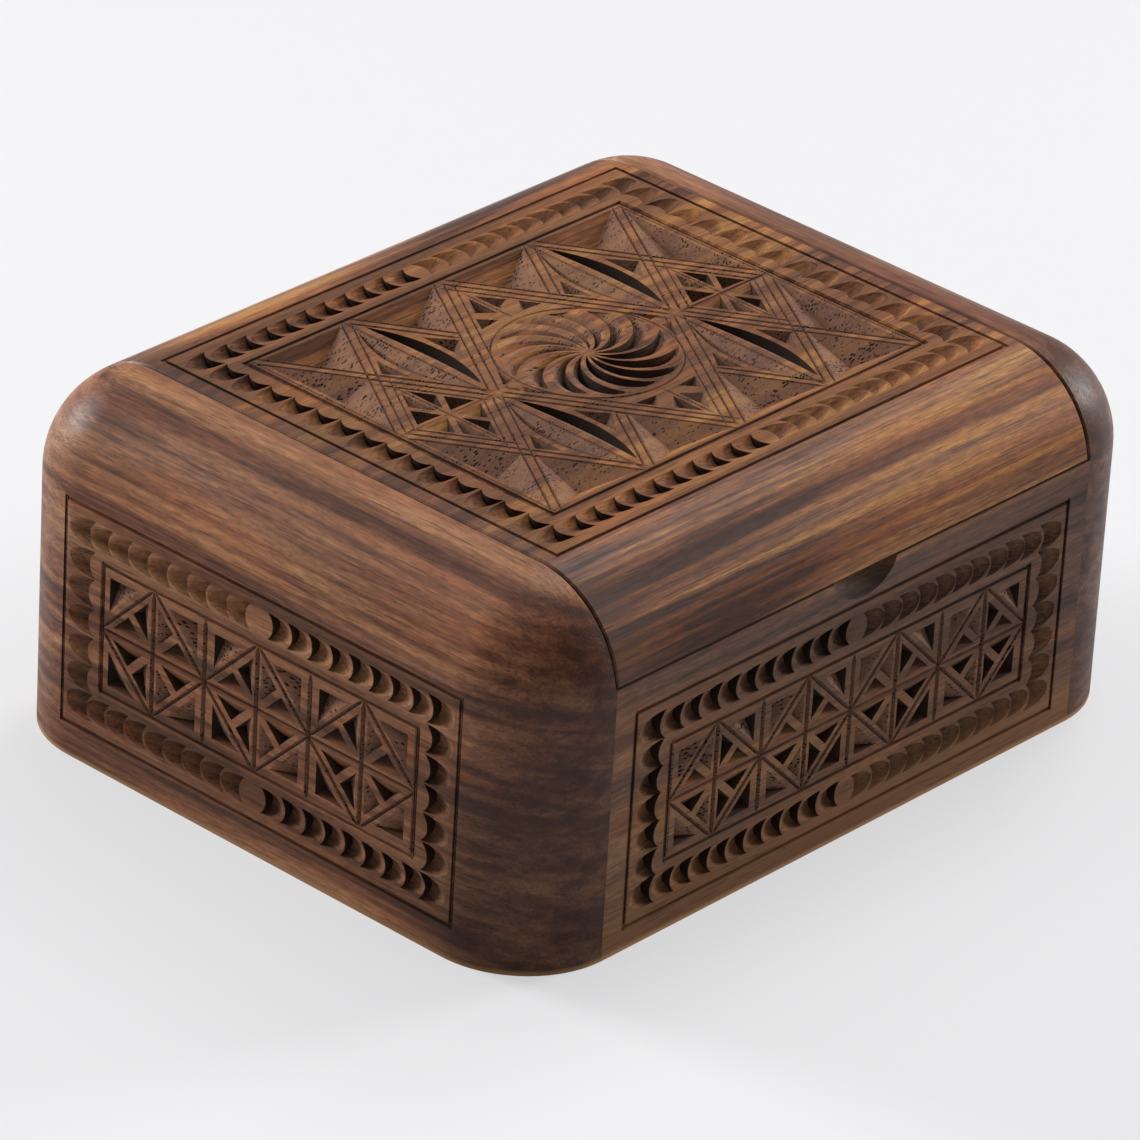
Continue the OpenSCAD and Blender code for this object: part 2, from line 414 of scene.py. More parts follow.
def pit(corners, tip, depth):
    """Pyramid that stands on its tip under the polygon of corners."""
    count = len(corners)
    points, faces = lofted([[(x, y, z) for x, y in corners] for z in (0.6, 0.002)])
    faces.pop(1)
    faces += [[count + i, count + (i + 1) % count, 2 * count] for i in range(count)]
    return points + [(*tip, -depth)], faces


def middle_of(corners):
    """Mean of some flat points."""
    return tuple(sum(p[k] for p in corners) / len(corners) for k in (0, 1))


def shrunk(corners, gaps):
    """Corners of a polygon after each side moves in by its own gap."""
    area = sum(corners[i - 1][0] * corners[i][1] - corners[i][0] * corners[i - 1][1]
               for i in range(len(corners)))
    if area < 0:
        corners, gaps = corners[::-1], gaps[-2::-1] + gaps[-1:]
    lines = []
    for i, gap in enumerate(gaps):
        a, b = Vector(corners[i]), Vector(corners[(i + 1) % len(corners)])
        along = (b - a).normalized()
        inward = Vector((-along.y, along.x))
        lines.append((a + inward * gap, along))
    result = []
    for i in range(len(lines)):
        (p, d), (q, e) = lines[i - 1], lines[i]
        s = ((q - p).x * e.y - (q - p).y * e.x) / (d.x * e.y - d.y * e.x)
        result.append(tuple(p + d * s))
    return result


print("shrunk by 1:", shrunk([(0, 0), (6, 0), (0, 6)], [1, 1, 1]))

# %% Scribed line
def vee_section(half, depth):
    """Corners of a V with its half width, as pairs of offset and height."""
    return ((-half, 0.4), (half, 0.4), (half, 0.002), (0, -depth), (-half, 0.002))


def vee(start, end, width=0.62, depth=0.5, taper=1.2):
    """V-shaped line from start to end that runs out to a point at each end."""
    a, b = Vector(start), Vector(end)
    along = (b - a).normalized()
    side = Vector((-along.y, along.x))
    reach = (b - a).length
    taper = min(taper, reach / 3)
    rings = []
    for distance, share in ((0, 0.12), (taper, 1), (reach - taper, 1), (reach, 0.12)):
        here, half = a + along * distance, width / 2 * share
        rings.append([(*(here + side * offset), z)
                      for offset, z in vee_section(half, depth * share)])
    return lofted(rings)


print("corners of a line:", len(vee((0, 0), (10, 0))[0]))

# %% Gouge mark
def gouge_mark(length, half_width=1.95, hollow=2.02, depth=1.38, left=0.35,
               arc=2.45, steps=9, rows=12):
    """Mark whose arc wall has its middle at (0, 0) and whose ramp runs to +u."""
    points, faces, lids = [], [], []
    for j in range(rows + 1):
        v = -half_width * math.cos(math.pi * j / rows)
        wall = -(arc - math.sqrt(arc * arc - v * v))
        rise = hollow - math.sqrt(max(hollow * hollow - v * v, 0.0))
        for i in range(steps + 1):
            u = wall + (length - wall) * i / steps
            fall = depth - (depth - left) * (max(u, 0.0) / length) ** 1.3
            points.append((u, v, min(rise - fall, 0.55)))
            lids.append((u, v, 0.7))
    count = len(points)
    points += lids
    wide = steps + 1
    for j in range(rows):
        for i in range(steps):
            k = j * wide + i
            faces.append([k, k + 1, k + 1 + wide, k + wide])
            faces.append([count + k, count + k + wide, count + k + 1 + wide, count + k + 1])
    rim = (list(range(wide)) + [j * wide + steps for j in range(1, rows + 1)]
           + [rows * wide + i for i in range(steps - 1, -1, -1)]
           + [j * wide for j in range(rows - 1, 0, -1)])
    for i, k in enumerate(rim):
        n = rim[(i + 1) % len(rim)]
        faces.append([k, n, count + n, count + k])
    return points, faces


print("corners of a gouge mark:", len(gouge_mark(3.5)[0]))

# %% [markdown]
# ## Repeating a wedge with Geometry Nodes
#
# A carver repeats one cut again and again, and no two are quite the same. One
# node tree does both: it puts copies of a wedge along a straight step, turns
# each by a little more if asked, and lets each wander by a few hundredths of a
# millimetre from a fixed seed. The same tree makes rows of gouge marks, rows of
# carved squares, and the flutes of the rosette.

# %% The repeating tree
def build_repeat_tree():
    """Tree with named inputs: one wedge in, a line of slightly varied ones out."""
    tree = bpy.data.node_groups.new("repeat_the_cut", "GeometryNodeTree")
    face = tree.interface
    for name, kind in (("Wedge", "NodeSocketObject"), ("Count", "NodeSocketInt"),
                       ("First", "NodeSocketVector"), ("Step", "NodeSocketVector"),
                       ("Turn", "NodeSocketFloat"), ("Turn per step", "NodeSocketFloat"),
                       ("Wander", "NodeSocketFloat"), ("Seed", "NodeSocketInt"),
                       ("Wood", "NodeSocketMaterial")):
        face.new_socket(name, in_out="INPUT", socket_type=kind)
    face.new_socket("Geometry", in_out="OUTPUT", socket_type="NodeSocketGeometry")
    given = tree.nodes.new("NodeGroupInput").outputs
    line = add(tree, "GeometryNodeMeshLine", {
        "Count": given["Count"], "Start Location": given["First"],
        "Offset": given["Step"]}, mode="OFFSET")
    index = add(tree, "GeometryNodeInputIndex").outputs[0]
    angle = maths(tree, "MULTIPLY_ADD", index, given["Turn per step"], given["Turn"])
    low = maths(tree, "MULTIPLY", given["Wander"], -1.0)
    shift = add(tree, "FunctionNodeRandomValue", {
        "Min": low, "Max": given["Wander"], "ID": index,
        "Seed": given["Seed"]}, data_type="FLOAT_VECTOR")
    flat = add(tree, "ShaderNodeVectorMath", {
        0: shift.outputs[0], 1: (1.0, 1.0, 0.35)}, operation="MULTIPLY")
    moved = add(tree, "GeometryNodeSetPosition", {
        "Geometry": line.outputs["Mesh"], "Offset": flat.outputs["Vector"]})
    size = add(tree, "FunctionNodeRandomValue", {
        2: 0.97, 3: 1.03, "ID": index, "Seed": given["Seed"]}, data_type="FLOAT")
    turn = add(tree, "ShaderNodeCombineXYZ", {"Z": angle})
    wedge = add(tree, "GeometryNodeObjectInfo", {"Object": given["Wedge"]})
    copies = add(tree, "GeometryNodeInstanceOnPoints", {
        "Points": moved.outputs["Geometry"], "Instance": wedge.outputs["Geometry"],
        "Rotation": turn.outputs["Vector"], "Scale": size.outputs[1]})
    real = add(tree, "GeometryNodeRealizeInstances", {
        "Geometry": copies.outputs["Instances"]})
    dressed = add(tree, "GeometryNodeSetMaterial", {
        "Geometry": real.outputs["Geometry"], "Material": given["Wood"]})
    out = tree.nodes.new("NodeGroupOutput")
    tree.links.new(dressed.outputs["Geometry"], out.inputs["Geometry"])
    return tree


repeat_tree = build_repeat_tree()
socket_of = {item.name: item.identifier for item in repeat_tree.interface.items_tree
             if item.in_out == "INPUT"}
print("inputs of the tree:", sorted(socket_of))

# %% Copies of a wedge as one plain mesh
def baked(obj):
    """A new mesh with what the object's modifiers make."""
    bpy.context.view_layer.update()
    seen = obj.evaluated_get(bpy.context.evaluated_depsgraph_get())
    return bpy.data.meshes.new_from_object(seen)


def repeated(wedge, count, first, step=(0, 0, 0), turn=0.0, turn_step=0.0,
             wander=0.04, seed=1):
    """The tree's result as a plain mesh. It only cuts, so its wood never shows."""
    holder = linked("holder", bpy.data.meshes.new("holder"))
    modifier = holder.modifiers.new("repeat", "NODES")
    modifier.node_group = repeat_tree
    for name, value in (("Wedge", wedge), ("Count", count), ("First", mm(*first)),
                        ("Step", mm(*step)), ("Turn", turn),
                        ("Turn per step", turn_step), ("Wander", wander * MM),
                        ("Seed", seed), ("Wood", wall_wood)):
        modifier[socket_of[name]] = value
    mesh = baked(holder)
    bpy.data.objects.remove(holder)
    return mesh


# %% [markdown]
# ## Subtracting the wedges
#
# The plain part is copied and its loose triangles are merged, because a boolean
# needs a closed shape. Wedges that overlap each other go in separate passes, so
# every pass subtracts clean, closed solids.

# %% Copy of a plain part and one carving pass
def blank(node, name):
    """Merged copy of a plain part, ready to carve."""
    mesh = nodes[node].data.copy()
    mesh.name = name
    made = bmesh.new()
    made.from_mesh(mesh)
    bmesh.ops.remove_doubles(made, verts=made.verts, dist=1e-6)
    made.to_mesh(mesh)
    made.free()
    mesh.materials.clear()
    for layer in list(mesh.uv_layers):
        mesh.uv_layers.remove(layer)
    return linked(name, mesh)


def carve(piece, panel, mesh):
    """Subtracts a mesh drawn in the panel's plane from the piece."""
    mesh.transform(panel.place)
    tool = linked("tool", mesh)
    cut = piece.modifiers.new("cut", "BOOLEAN")
    cut.operation, cut.solver, cut.object = "DIFFERENCE", "MANIFOLD", tool
    result = baked(piece)
    piece.modifiers.remove(cut)
    old = piece.data
    piece.data = result
    bpy.data.objects.remove(tool)
    bpy.data.meshes.remove(old)
    return len(result.polygons)


def carve_parts(piece, panel, parts):
    """Subtracts a list of (points, faces) wedges that don't overlap."""
    wedge = joined("wedges", parts)
    mesh = wedge.data.copy()
    bpy.data.objects.remove(wedge)
    return carve(piece, panel, mesh)


# %% [markdown]
# ## Borders of gouge marks
#
# Each panel has a border between two scribed lines. Rows of gouge marks run
# outwards from the middle of the top and the bottom, and columns of them close
# the sides with their ramps rising to the outer line. Between the marks only a
# thin crescent of flat wood is left. Neighbours in a column overlap, so odd and
# even marks are cut in two passes.

# %% Border
def carve_border(piece, panel, per_half, lobes, first, pitch, seed, depth, left):
    """Rows and columns of gouge marks between the panel's two lines."""
    land = 0.14          # flat wood between the end of a ramp and the next wall
    side_inset = 4.6     # from the outer line to the walls of the side marks
    row_mark = joined("row_mark", [gouge_mark(pitch - land, depth=depth, left=left)])
    side_mark = joined("side_mark", [gouge_mark(
        3.6, half_width=2.1, hollow=2.16, left=0.1, depth=depth + 0.1)])
    row_v = panel.half_v - panel.border / 2 - 0.1
    gap = 2 * row_v / (lobes - 1)
    for odd in (0, 1):
        for side in (1, -1):
            turn = 0 if side > 0 else math.pi
            for v in (row_v, -row_v):
                mesh = repeated(row_mark, (per_half + 1 - odd) // 2,
                                (side * (first + odd * pitch), v, 0),
                                (side * 2 * pitch, 0, 0), turn,
                                wander=0.09, seed=seed + 7 * side + int(v) + odd)
                carve(piece, panel, mesh)
            mesh = repeated(side_mark, (lobes + 1 - odd) // 2,
                            (side * (panel.half_u - side_inset), -row_v + odd * gap, 0),
                            (0, 2 * gap, 0), turn,
                            wander=0.09, seed=seed + 31 * side + odd)
            count = carve(piece, panel, mesh)
    for wedge in (row_mark, side_mark):
        bpy.data.objects.remove(wedge)
    print(piece.name, "border done, faces:", count)


# %% Frame lines
def carve_frame(piece, panel, half_u, half_v, width, depth):
    """Rectangle of scribed lines: strong across the grain, faint along it."""
    carve_parts(piece, panel, [
        vee((-half_u - 0.3, v), (half_u + 0.3, v), width * 0.72, depth * 0.5, 0.5)
        for v in (half_v, -half_v)])
    carve_parts(piece, panel, [
        vee((u, -half_v - 0.5), (u, half_v + 0.5), width, depth, 0.5)
        for u in (half_u, -half_u)])


# %% [markdown]
# ## Carved squares
#
# The end blocks and the walls carry rows of squares. Each square has a diamond
# on the middles of its sides, a pit in each corner, and inside the diamond
# eight small pits that leave a star of bars. A pit's deepest point lies near its
# square corner, so two of its slopes are steep and dark and the third is long.

# %% One carved square
def bar_pits(a, b, su, sv, gaps, lean):
    """Two pits in one quarter of a diamond with half sizes a and b. The gaps leave
    bars round them, and lean is how far the tip goes to the blunt corner."""
    middle = (a / 2 * su, b / 2 * sv)
    parts = []
    for far in ((0, b * sv), (a * su, 0)):
        small = shrunk([(0, 0), far, middle], gaps)
        blunt = min(small, key=lambda p: math.dist(p, middle))
        tip = [lean * p + (1 - lean) * q for p, q in zip(blunt, middle_of(small))]
        parts.append(pit(small, tip, 1.5))
    return parts


def square_pits(a, b):
    """Twelve pits of a square with half sides a and b, centred on zero."""
    parts = []
    for su, sv in quarters:
        outer = (a * su, b * sv)
        corner = shrunk([outer, (0, b * sv), (a * su, 0)], [1.55, 0.85, 1.55])
        square = min(corner, key=lambda p: math.dist(p, outer))
        tip = (square[0] - 0.55 * su, square[1] - 0.55 * sv)
        parts.append(pit(corner, tip, 1.6))
        parts += bar_pits(a, b, su, sv, [0.8, 1.0, 0.58], 0.7)
    return parts


quarters = [(su, sv) for su in (1, -1) for sv in (1, -1)]
print("pits in a square:", len(square_pits(9, 9)))


# %% Field of carved squares
def carve_squares(piece, panel, squares, seed):
    """A row of carved squares that fills the panel's field."""
    a, b = panel.field_u / squares, panel.field_v
    wedge = joined("square_pits", square_pits(a, b))
    first = -a * (squares - 1)
    carve(piece, panel, repeated(wedge, squares, (first, 0, 0), (2 * a, 0, 0),
                                 wander=0.05, seed=seed))
    bpy.data.objects.remove(wedge)
    carve_parts(piece, panel, [
        vee((-panel.field_u, 0), (panel.field_u, 0), 0.5, 0.32)])
    carve_parts(piece, panel, [
        vee((first + a * (k - 1), -b), (first + a * (k - 1), b), 0.8, 0.64)
        for k in range(1, 2 * squares)])
    rising, falling = [], []
    for k in range(squares):
        c = first + 2 * a * k
        rising += [vee((c - a, 0), (c, b)), vee((c, -b), (c + a, 0))]
        falling += [vee((c - a, 0), (c, -b)), vee((c, b), (c + a, 0))]
    carve_parts(piece, panel, rising)
    count = carve_parts(piece, panel, falling)
    print(piece.name, "squares done, faces:", count)


# %% [markdown]
# ## Marking the cuts
#
# After the carving, each face is compared with the plain panel. A face below
# the panel that stands upright was stabbed, and one that slopes was pared. The
# stabbed walls and the depths of the cuts get painted shade together with oil. A
# wall that shows end grain takes more oil and is darker. The level ground
# between the cuts was scraped. Normals are set so that rounded wood looks smooth
# while each knife cut keeps its crisp edges.

# %% Even normals
def even_normals(mesh, inside, limit=0.93):
    """Each corner takes the area-weighted normal of the faces round it that
    nearly share its direction. Cut and uncut faces never mix."""
    around = [[] for _ in mesh.vertices]
    faces = [(f.normal.copy(), f.area, bool(inside[f.index]), tuple(f.vertices))
             for f in mesh.polygons]
    for normal, area, cut, corners in faces:
        for v in corners:
            around[v].append((normal, area, cut))
    normals = []
    for normal, area, cut, corners in faces:
        for v in corners:
            total = normal * 1e-12
            for other, weight, other_cut in around[v]:
                if other_cut == cut and other.dot(normal) > limit:
                    total = total + other * weight
            normals.append(total.normalized())
    mesh.normals_split_custom_set(normals)


# %% Cut attributes and smooth shading
def fade(value, low, high):
    """0 below low, 1 above high, and a straight rise between them."""
    return np.clip((value - low) / (high - low), 0, 1)


def mark_cuts(piece, panel, wood, scraped=0.4, notch_shade=None):
    """Writes the four attributes and gives the piece its wood. scraped is pared's
    value on level ground, and the last argument is a ball whose hollow is darkened
    as painted shade, the shade under the lid."""
    mesh = piece.data
    mesh.materials.clear()
    mesh.materials.append(wood)
    count = len(mesh.polygons)
    normal, centre = np.zeros(count * 3), np.zeros(count * 3)
    mesh.polygons.foreach_get("normal", normal)
    mesh.polygons.foreach_get("center", centre)
    normal, centre = normal.reshape(-1, 3), centre.reshape(-1, 3)
    flat = (centre - np.array(panel.middle)) / MM
    u, v, z = flat @ np.array(panel.u), flat @ np.array(panel.v), flat @ np.array(panel.out)
    facing, end_grain = normal @ np.array(panel.out), abs(normal @ np.array(panel.u))
    inside = ((abs(u) < panel.half_u + 0.6) & (abs(v) < panel.half_v + 0.6)
              & (z < -0.02) & (z > -3.4) & (facing > -0.1) & (facing < 0.998))
    # steep walls below the face get painted shade with some oil, a little darker on end
    # grain
    steep = (1 - fade(facing, 0.36, 0.72)) * fade(-z, 0.03, 0.33)
    steep = steep * (0.72 + 0.28 * end_grain)
    gentle = fade(-z, 0, 0.5) * fade(facing, 0.62, 0.82)
    field = (abs(u) < panel.field_u) & (abs(v) < panel.field_v)
    ground = ((abs(u) < panel.half_u) & (abs(v) < panel.half_v) & (abs(z) < 0.02)
              & (facing > 0.99))
    stab = np.where(inside, steep, 0.0)
    pared = np.where(inside, gentle * np.where(field, 0.4, np.clip(1.3 + z, 0.2, 1)), 0.0)
    pared = np.where(ground, scraped, pared)
    # cut: sloping faces in the cuts, whose depths the wood darkens with painted shade and
    # oil
    cut = np.where(inside, 1 - fade(facing, 0.885, 0.985), 0.0)
    end = np.where(inside & field, end_grain, 0.0)
    at = centre / MM
    # the eased edges under the front of the lid, between the end blocks
    lid_joint = ((abs(at[:, 2] - LID_BOTTOM) < 0.5) & (at[:, 1] < 1.1 - HALF_DEPTH)
                 & (abs(at[:, 0]) < END_SEAM + 0.225) & (abs(normal[:, 2]) > 0.2))
    stab = np.where(lid_joint, 0.9, stab)
    # painted shade: the thumb notch's hollow under the lid goes dark like a stabbed wall
    if notch_shade:
        distance = np.linalg.norm(at - np.array(notch_shade[:3]), axis=1)
        stab = np.where(abs(distance - notch_shade[3]) < 0.2, 0.72, stab)
    for name, values in (("stab", stab), ("pared", pared), ("cut", cut), ("end", end)):
        layer = mesh.attributes.new(name, "FLOAT", "FACE")
        layer.data.foreach_set("value", values.astype(np.float32))
    mesh.polygons.foreach_set("material_index", np.zeros(count, np.int32))
    mesh.polygons.foreach_set("use_smooth", np.ones(count, bool))
    even_normals(mesh, inside)
    print(piece.name, "faces:", count, "cut:", int(inside.sum()),
          "stabbed:", int((stab > 0.5).sum()))


def finish_piece(piece, node, body):
    """The piece stands for its plain part and moves with its body."""
    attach(piece, body)
    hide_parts(node)


# %% [markdown]
# ## Eased edges
#
# A maker takes the sharp edges off with a few strokes of a plane, so a seam
# between two boards is a small V. One V runs round the box on each side of the
# lid, and one along the front under it. Both boards at a seam are cut with the
# same V, which gives each its half.

# %% Eased edges
def eased_edge(x, width=0.72, depth=0.38, steps=36, start=8, stop=132):
    """V that follows the rounded section at one x, between two angles that count
    from level at the front, over the top, to the back."""
    rings = []
    half = Vector((width / 2, 0, 0))
    for i in range(steps + 1):
        angle = math.radians(start + (stop - start) * i / steps)
        side = -1 if angle < math.pi / 2 else 1
        out = Vector((0, -math.cos(angle), math.sin(angle)))
        at = Vector((x, side * (HALF_DEPTH - ROUND), HEIGHT - ROUND)) + out * ROUND
        rings.append([tuple(at + half + out * 0.002), tuple(at + half + out * 0.5),
                      tuple(at - half + out * 0.5), tuple(at - half + out * 0.002),
                      tuple(at - out * depth)])
    return lofted(rings)


whole_box = Panel((0, 0, 0), (1, 0, 0), (0, 1, 0), HALF_WIDTH, HALF_DEPTH, 0)
edge_lines = [eased_edge(END_SEAM), eased_edge(-END_SEAM)]
front_seam = Panel((0, 0.14 - HALF_DEPTH, LID_BOTTOM), (1, 0, 0), (0, 0, 1), 46, 1, 0)
front_line = vee((-47, 0), (47, 0), 0.4, 0.34, 0.2)
print("corners of an eased edge:", len(edge_lines[0][0]))

# %% [markdown]
# ## End blocks and walls
#
# All four carry the same kind of panel, and the walls are a little longer, so
# they get four squares and the ends three. The thumb notch in the front wall is
# part of the plain shape, and its hollow is darkened as painted shade, the shade
# under the lid.

# %% End blocks and walls
END_ROWS = (3, 8, 2.4, 3.56)     # squares, marks in half a row, first mark, pitch
WALL_ROWS = (4, 10, 2.0, 3.51)
THUMB_NOTCH = (1, -57.9, 42.7, 11.84)    # middle and radius of its ball
for node in ("left_end", "right_end", "front_wall", "back_wall"):
    is_end = node.endswith("end")
    squares, per_half, first, pitch = END_ROWS if is_end else WALL_ROWS
    panel = panels[node]
    piece = blank(node, "carved_" + node)
    seed = 100 + 17 * len(node)
    carve_border(piece, panel, per_half, 7, first, pitch, seed, 1.38, 0.03)
    carve_squares(piece, panel, squares, seed + 3)
    carve_frame(piece, panel, panel.half_u, panel.half_v, 0.7, 0.62)
    carve_frame(piece, panel, panel.field_u, panel.field_v, 0.88, 0.68)
    if node == "front_wall":
        carve_parts(piece, front_seam, [front_line])
    if is_end:
        carve_parts(piece, whole_box, edge_lines)
    mark_cuts(piece, panel, end_wood if is_end else wall_wood,
              notch_shade=THUMB_NOTCH if node == "front_wall" else None)
    finish_piece(piece, node, "case")

# %% [markdown]
# ## The lid
#
# The lid's field is a lattice of diamonds. The two at the sides hold eight small
# pits, four hold a long leaf, and the large one in the middle holds a rosette
# whose flutes turn like a wheel. Between the diamonds and the edge lie deep
# three-sided pits.

# %% Border and lattice of the lid
lid_panel = panels["lid"]
cell_u, cell_v = 8.7, 13.65
lid = blank("lid", "carved_lid")
carve_border(lid, lid_panel, 10, 16, 1.6, 3.66, 500, 1.15, 0.03)


def knot(i, j):
    """Point of the lattice, whose columns run -4 to 4 and rows -2 to 2."""
    return (cell_u * i, cell_v * j)

# %% Large pits along the lid's edges
edge_pits = []
for s in (1, -1):
    for k in (-3, -1, 1, 3):
        tri = shrunk([knot(k - 1, 2 * s), knot(k + 1, 2 * s), knot(k, s)],
                     [0.75, 0.95, 0.95])
        edge_pits.append(pit(tri, middle_of(tri), 2.3))
    for k in (1, -1):
        tri = shrunk([knot(4 * k, 2 * s), knot(4 * k, 0), knot(3 * k, s)],
                     [0.6, 0.95, 0.95])
        edge_pits.append(pit(tri, middle_of(tri), 2.3))
print("faces with edge pits:", carve_parts(lid, lid_panel, edge_pits))

# %% Small pits of the side diamonds
side_wedge = joined("side_diamond", [
    part for su, sv in quarters for part in bar_pits(
        5.9, 9.3, su, sv, [0.5, 0.25, 0.45], 0.45)])
carve(lid, lid_panel, repeated(side_wedge, 2, (-3 * cell_u, 0, 0), (6 * cell_u, 0, 0),
                               wander=0.05, seed=41))
bpy.data.objects.remove(side_wedge)
print("faces with side diamonds:", len(lid.data.polygons))

# %% [markdown]
# ## Leaves and rosette
#
# A leaf is stabbed along its outer arc and pared down to that wall from its
# rib. A flute of the rosette is the same cut bent along a circle, so that one
# wall is steep and the floor rises to the next ridge. Flutes share their
# ridges, so odd and even ones are cut in two passes.

# %% Leaves
def leaf_half(side, inner, belly, half_length=10.6, depth=2.3, steps=24):
    """Half of a leaf: a wall stabbed along its outer arc, a ramp to the rib."""
    rings = []
    for i in range(steps + 1):
        s = -1 + 2 * i / steps
        swell = max(1 - s * s, 0.0)
        outer = inner + 0.03 + belly * swell
        deep = 0.03 + depth * swell ** 0.8
        rings.append([(x * side, half_length * s, z) for x, z in (
            (inner, 0.5), (outer, 0.5), (outer, 0.002), (outer - 0.16 * swell, -deep),
            ((inner + outer) / 2, -deep * 0.3), (inner, 0.002))])
    return lofted(rings)


for side, inner, belly in ((1, 0.6, 2.7), (-1, 0.85, 3.35)):
    leaf = joined("leaf", [leaf_half(side, inner, belly)])
    for v in (cell_v, -cell_v):
        carve(lid, lid_panel, repeated(leaf, 2, (-2 * cell_u, v, 0), (4 * cell_u, 0, 0),
                                       wander=0.03, seed=51))
    bpy.data.objects.remove(leaf)
print("faces with leaves:", len(lid.data.polygons))

# %% Small pits beside the leaves and round the rosette
small_pits = []
for i in (2, -2):
    for j in (1, -1):
        x, y = knot(i, j)
        for tri, tip in (([(4.2, 3.7), (4.2, -3.7), (7.3, 0)], (5.9, 0)),
                         ([(-5.0, 3.0), (-5.0, -3.0), (-7.3, 0)], (-6.2, 0))):
            tri = [(x + a, y + b) for a, b in tri]
            small_pits.append(pit(tri, (x + tip[0], y + tip[1]), 1.5))
for su, sv in quarters:
    for tri, deep in (([(0.55, 21.0), (0.55, 15.6), (3.1, 17.6)], 1.5),
                      ([(4.1, 16.3), (5.8, 13.7), (2.1, 14.1)], 1.4),
                      ([(13.2, 1.0), (12.6, 4.4), (15.0, 1.0)], 0.9)):
        tri = [(a * su, b * sv) for a, b in tri]
        small_pits.append(pit(tri, middle_of(tri), deep))
print("faces with small pits:", carve_parts(lid, lid_panel, small_pits))

# %% Rosette
def flute(flutes, rim=12.0, hub=0.9, bend=7.18, ridge=0.2, depth=2.0, steps=20):
    """One flute of the wheel. It follows a circle of radius bend from the hub
    to the rim. One side is a steep wall and the floor rises to the next ridge."""
    spread = 2 * math.pi / flutes
    rings = []
    for i in range(steps + 1):
        s = i / steps
        r = hub + (rim - hub) * s
        swing = math.asin(r / (2 * bend))
        half = min(ridge / (r * math.cos(swing)), 0.4 * spread)
        low, wide = swing + half, spread - 2 * half
        deep = 0.03 + depth * max(math.sin(math.pi * s ** 0.85), 0.0) ** 0.7
        rings.append([(r * math.cos(low + wide * share), r * math.sin(low + wide * share), z)
                      for share, z in ((0, 0.5), (1, 0.5), (1, 0.002), (0.9, -deep),
                                       (0.62, -deep * 0.45), (0.32, -deep * 0.13),
                                       (0, 0.002))])
    return lofted(rings)


flutes = 14
petal = joined("flute", [flute(flutes)])
for odd in (0, 1):
    carve(lid, lid_panel, repeated(
        petal, flutes // 2, (0, 0, 0), (0, 0, 0),
        0.295 + odd * 2 * math.pi / flutes, 4 * math.pi / flutes,
        wander=0.015, seed=61 + odd))
bpy.data.objects.remove(petal)
print("faces with rosette:", len(lid.data.polygons))

# %% Ring round the rosette
def ring(radius, width, depth, sides=96):
    """V-shaped ring."""
    points, faces = [], []
    for i in range(sides):
        angle = 2 * math.pi * i / sides
        for offset, z in vee_section(width / 2, depth):
            r = radius + offset
            points.append((r * math.cos(angle), r * math.sin(angle), z))
    for i in range(sides):
        k, n = 5 * i, 5 * ((i + 1) % sides)
        faces += [[k + j, k + (j + 1) % 5, n + (j + 1) % 5, n + j] for j in range(5)]
    return points, faces


print("faces with ring:", carve_parts(lid, lid_panel, [ring(12.75, 0.42, 0.3)]))

# %% [markdown]
# ## Lines of the lattice
#
# Each bar of the lattice lies between two scribed lines, and some carry a third.
# Lines that lean one way never cross each other, so each lean is one pass. The
# upright and level lines through the diamonds follow in passes of their own.

# %% Lines of the lattice
def beside(start, end, offset, width=0.52, depth=0.36):
    """Scribed line parallel to start-end, moved to its left by the offset."""
    a, b = Vector(start), Vector(end)
    along = (b - a).normalized()
    left = Vector((-along.y, along.x)) * offset
    return vee(a + left + along * 0.45, b + left - along * 0.45, width, depth)


rising = [(-4, 0, -2, 2), (-2, 0, 0, 2), (1, 1, 2, 2), (2, 0, 4, 2),
          (-4, -2, -2, 0), (-2, -2, -1, -1), (0, -2, 2, 0), (2, -2, 4, 0)]
for mirror in (1, -1):
    lines = []
    for a, b, c, d in rising:
        start, end = knot(a * mirror, b), knot(c * mirror, d)
        lines += [beside(start, end, 0.65), beside(start, end, -0.65)]
    for (a, b, c, d), offset in (((-2, 0, 0, 2), -1.95), ((0, -2, 2, 0), 1.95),
                                 ((-4, 0, -3, 1), -1.95), ((-3, -1, -2, 0), 1.95),
                                 ((2, 0, 3, 1), -1.95), ((3, -1, 4, 0), 1.95)):
        lines.append(beside(knot(a * mirror, b), knot(c * mirror, d), offset * mirror,
                            0.44, 0.28))
    carve_parts(lid, lid_panel, lines)
carve_parts(lid, lid_panel, [
    vee((2 * cell_u * k - 0.6, 2 * cell_v * s), (2 * cell_u * k - 0.6, 0.3 * s), 0.48, 0.36)
    for k, s in quarters])
carve_parts(lid, lid_panel, [
    vee((3 * cell_u * k, -9.6), (3 * cell_u * k, 9.6), 0.42, 0.3) for k in (1, -1)])
carve_parts(lid, lid_panel, [
    vee((4 * cell_u * k, 0), (2 * cell_u * k, 0), 0.4, 0.3) for k in (1, -1)])
print("faces with lattice:", carve_parts(lid, lid_panel, [
    vee((0, 13.3 * s), (0, 22.6 * s), 0.44, 0.32) for s in (1, -1)]))

# %% Frame lines and finish of the lid
carve_frame(lid, lid_panel, lid_panel.half_u, lid_panel.half_v, 0.52, 0.32)
carve_frame(lid, lid_panel, lid_panel.field_u + 0.4, lid_panel.field_v, 0.52, 0.34)
carve_parts(lid, lid_panel, [
    vee((u, -lid_panel.field_v), (u, lid_panel.field_v), 0.44, 0.3)
    for u in (34.9, -34.9)])
carve_parts(lid, front_seam, [front_line])
carve_parts(lid, whole_box, edge_lines)
mark_cuts(lid, lid_panel, lid_wood, scraped=0.9)
finish_piece(lid, "lid", "lid")

